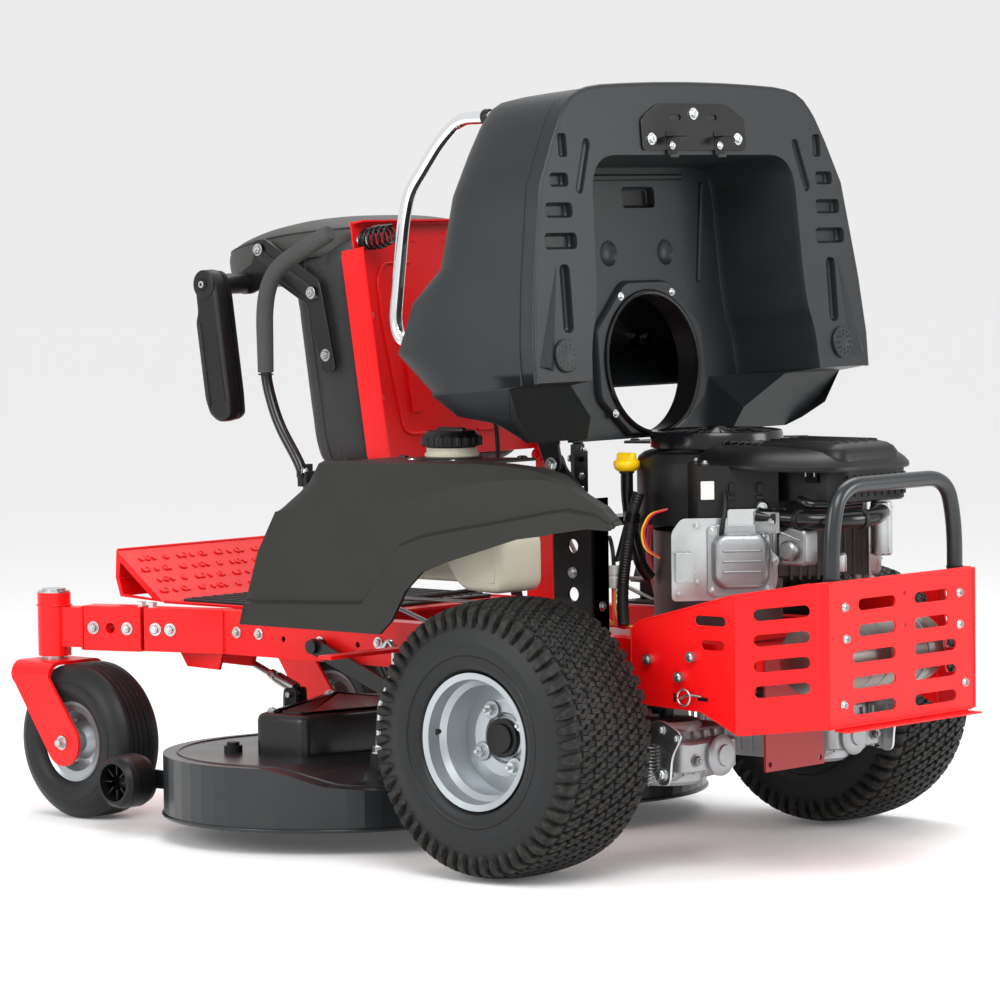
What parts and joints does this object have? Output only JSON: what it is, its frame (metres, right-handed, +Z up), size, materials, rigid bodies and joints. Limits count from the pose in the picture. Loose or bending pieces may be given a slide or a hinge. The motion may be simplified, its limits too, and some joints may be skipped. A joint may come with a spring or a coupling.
{
  "type": "zero turn mower",
  "caption": "Zero turn ride-on mower with twin control levers, belly-mounted cutting deck, front caster wheels and a rear engine, shown with hood up and seat tipped forward.",
  "frame": {"origin": "on the ground, under the centre of the bounding box", "axes": "+X the driving direction, +Y the driver's left, +Z up"},
  "size_m": [1.739, 1.075, 1.2768],
  "materials": {
    "red": "gloss powder coat",
    "black": "gloss black enamel",
    "deck": "gloss dark grey enamel",
    "hoop": "gloss dark grey enamel",
    "hood": "satin moulded plastic",
    "fender": "matte moulded plastic",
    "plastic": "matte black plastic",
    "tank": "translucent cream plastic",
    "yellow": "gloss yellow plastic",
    "tyre": "matte rubber",
    "rim": "silver paint",
    "zinc": "zinc plate",
    "chrome": "polished chrome",
    "alu": "cast",
    "steel": "bare steel",
    "vinyl": "black vinyl over foam",
    "rubber": "black rubber",
    "foam": "foam grip on a black tube"
  },
  "bodies": {
    "frame": {"main_frame": "red", "front_axle_arms": "red", "foot_plate": "red", "fenders": "fender", "fuel_tank": "tank", "electrics": "plastic", "hood_support": "black", "rear_guard": "red", "bumper_hoop": "hoop", "fasteners": "zinc", "engine_block": "alu", "rocker_covers": "alu", "blower_housing": "plastic", "air_cleaner": "plastic", "engine_pipes": "rubber", "muffler": "steel", "transaxles": "alu", "drive_belt": "rubber", "seat_lead": "rubber"},
    "crank": {"crankshaft": "steel", "engine_screen": "plastic"},
    "dipstick": {"dipstick": "yellow"},
    "fuel_cap": {"fuel_cap": "plastic"},
    "seat": {"seat_pan": "red", "seat_springs": "black", "seat_switch": "plastic", "seat_cushion": "vinyl", "seat_back": "vinyl", "seat_brackets": "black"},
    "armrest_left": {"armrest_left": "plastic"},
    "armrest_right": {"armrest_right": "plastic"},
    "hood": {"hood_shell": "hood", "hood_fittings": "black", "hood_rails": "chrome"},
    "lever_base_left": {"lever_base_left": "black"},
    "lever_base_right": {"lever_base_right": "black"},
    "lever_left": {"lever_left": "foam"},
    "lever_right": {"lever_right": "foam"},
    "caster_fork_left": {"caster_fork_left": "red"},
    "caster_fork_right": {"caster_fork_right": "red"},
    "caster_wheel_left": {"caster_tyre_left": "tyre", "caster_rim_left": "rim"},
    "caster_wheel_right": {"caster_tyre_right": "tyre", "caster_rim_right": "rim"},
    "rear_wheel_left": {"rear_tyre_left": "tyre", "rear_rim_left": "rim"},
    "rear_wheel_right": {"rear_tyre_right": "tyre", "rear_rim_right": "rim"},
    "deck": {"deck_shell": "deck", "belt_covers": "black", "deck_fittings": "zinc"},
    "chute": {"chute": "plastic"},
    "blade_left": {"blade_left": "steel"},
    "blade_right": {"blade_right": "steel"},
    "scalp_wheel_left": {"scalp_wheel_left": "plastic"},
    "scalp_wheel_right": {"scalp_wheel_right": "plastic"},
    "lift_arms": {"lift_arms": "black"},
    "ignition_key": {"ignition_key": "zinc"},
    "pto_knob": {"pto_knob": "yellow"},
    "throttle_lever": {"throttle_lever": "plastic"}
  },
  "joints": [
    {"name": "seat_tilt", "type": "hinge", "parent": "frame", "child": "seat", "pos_m": [0.129, 0, 0.64], "axis": [0, 1, 0], "range_deg": [-99, 0], "deforming": ["seat_lead"]},
    {"name": "hood_tilt", "type": "hinge", "parent": "frame", "child": "hood", "pos_m": [-0.281, 0, 0.655], "axis": [0, 1, 0], "range_deg": [-76, 0]},
    {"name": "armrest_left_fold", "type": "hinge", "parent": "seat", "child": "armrest_left", "pos_m": [0.41992, 0, 0.95537], "axis": [0, 1, 0], "range_deg": [-90, 0]},
    {"name": "armrest_right_fold", "type": "hinge", "parent": "seat", "child": "armrest_right", "pos_m": [0.41992, 0, 0.95537], "axis": [0, 1, 0], "range_deg": [-90, 0]},
    {"name": "lever_drive_left", "type": "hinge", "parent": "frame", "child": "lever_base_left", "pos_m": [0.162, 0.339, 0.56], "axis": [0, 1, 0], "range_deg": [-12, 12]},
    {"name": "lever_drive_right", "type": "hinge", "parent": "frame", "child": "lever_base_right", "pos_m": [0.162, -0.339, 0.56], "axis": [0, 1, 0], "range_deg": [-12, 12]},
    {"name": "lever_swing_left", "type": "hinge", "parent": "lever_base_left", "child": "lever_left", "pos_m": [0.162, 0.349, 0.625], "axis": [1, 0, 0], "range_deg": [0, 15]},
    {"name": "lever_swing_right", "type": "hinge", "parent": "lever_base_right", "child": "lever_right", "pos_m": [0.162, -0.349, 0.625], "axis": [-1, 0, 0], "range_deg": [0, 15]},
    {"name": "caster_swivel_left", "type": "hinge", "parent": "frame", "child": "caster_fork_left", "pos_m": [0.82, 0.332, 0.34], "axis": [0, 0, 1], "continuous": true},
    {"name": "caster_swivel_right", "type": "hinge", "parent": "frame", "child": "caster_fork_right", "pos_m": [0.82, -0.332, 0.34], "axis": [0, 0, 1], "continuous": true},
    {"name": "caster_spin_left", "type": "hinge", "parent": "caster_fork_left", "child": "caster_wheel_left", "pos_m": [0.73, 0.332, 0.139], "axis": [0, 1, 0], "continuous": true},
    {"name": "caster_spin_right", "type": "hinge", "parent": "caster_fork_right", "child": "caster_wheel_right", "pos_m": [0.73, -0.332, 0.139], "axis": [0, 1, 0], "continuous": true},
    {"name": "rear_wheel_left_turn", "type": "hinge", "parent": "frame", "child": "rear_wheel_left", "pos_m": [-0.376, 0.427, 0.228], "axis": [0, 1, 0], "continuous": true},
    {"name": "rear_wheel_right_turn", "type": "hinge", "parent": "frame", "child": "rear_wheel_right", "pos_m": [-0.376, -0.427, 0.228], "axis": [0, 1, 0], "continuous": true},
    {"name": "crank_turn", "type": "hinge", "parent": "frame", "child": "crank", "pos_m": [-0.434, -0.03, 0.6], "axis": [0, 0, 1], "continuous": true},
    {"name": "deck_lift", "type": "slide", "parent": "frame", "child": "deck", "axis": [0, 0, 1], "range_m": [0, 0.06]},
    {"name": "lift_arm_turn", "type": "hinge", "parent": "frame", "child": "lift_arms", "pos_m": [0.229, 0, 0.328], "axis": [0, 1, 0], "range_deg": [0, 20.5]},
    {"name": "chute_raise", "type": "hinge", "parent": "deck", "child": "chute", "pos_m": [0.156, -0.504, 0.16], "axis": [1, 0, 0], "range_deg": [-80, 0]},
    {"name": "blade_left_turn", "type": "hinge", "parent": "deck", "child": "blade_left", "pos_m": [0.219, 0.24, 0.15], "axis": [0, 0, 1], "continuous": true},
    {"name": "blade_right_turn", "type": "hinge", "parent": "deck", "child": "blade_right", "pos_m": [0.129, -0.228, 0.15], "axis": [0, 0, 1], "continuous": true},
    {"name": "scalp_spin_left", "type": "hinge", "parent": "deck", "child": "scalp_wheel_left", "pos_m": [0.512, 0.446, 0.092], "axis": [0, 1, 0], "continuous": true},
    {"name": "scalp_spin_right", "type": "hinge", "parent": "deck", "child": "scalp_wheel_right", "pos_m": [0.423, -0.434, 0.092], "axis": [0, 1, 0], "continuous": true},
    {"name": "dipstick_pull", "type": "slide", "parent": "frame", "child": "dipstick", "axis": [0, 0, 1], "range_m": [0, 0.2]},
    {"name": "fuel_cap_turn", "type": "hinge", "parent": "frame", "child": "fuel_cap", "pos_m": [-0.176, 0.345, 0.69], "axis": [0, 0, 1], "range_deg": [0, 330]},
    {"name": "key_turn", "type": "hinge", "parent": "frame", "child": "ignition_key", "pos_m": [-0.046, -0.4, 0.68], "axis": [0, 0, 1], "range_deg": [0, 90]},
    {"name": "pto_pull", "type": "slide", "parent": "frame", "child": "pto_knob", "axis": [0, 0, 1], "range_m": [0, 0.02]},
    {"name": "throttle_turn", "type": "hinge", "parent": "frame", "child": "throttle_lever", "pos_m": [-0.154, -0.346, 0.624], "axis": [0, 1, 0], "range_deg": [-25, 25]}
  ],
  "couplings": [
    {"joint": "hood_tilt", "follows": "seat_tilt", "ratio": 0.76768},
    {"joint": "lift_arm_turn", "follows": "deck_lift", "rad_per_m": 5.9},
    {"joint": "blade_right_turn", "follows": "blade_left_turn", "ratio": 1}
  ]
}
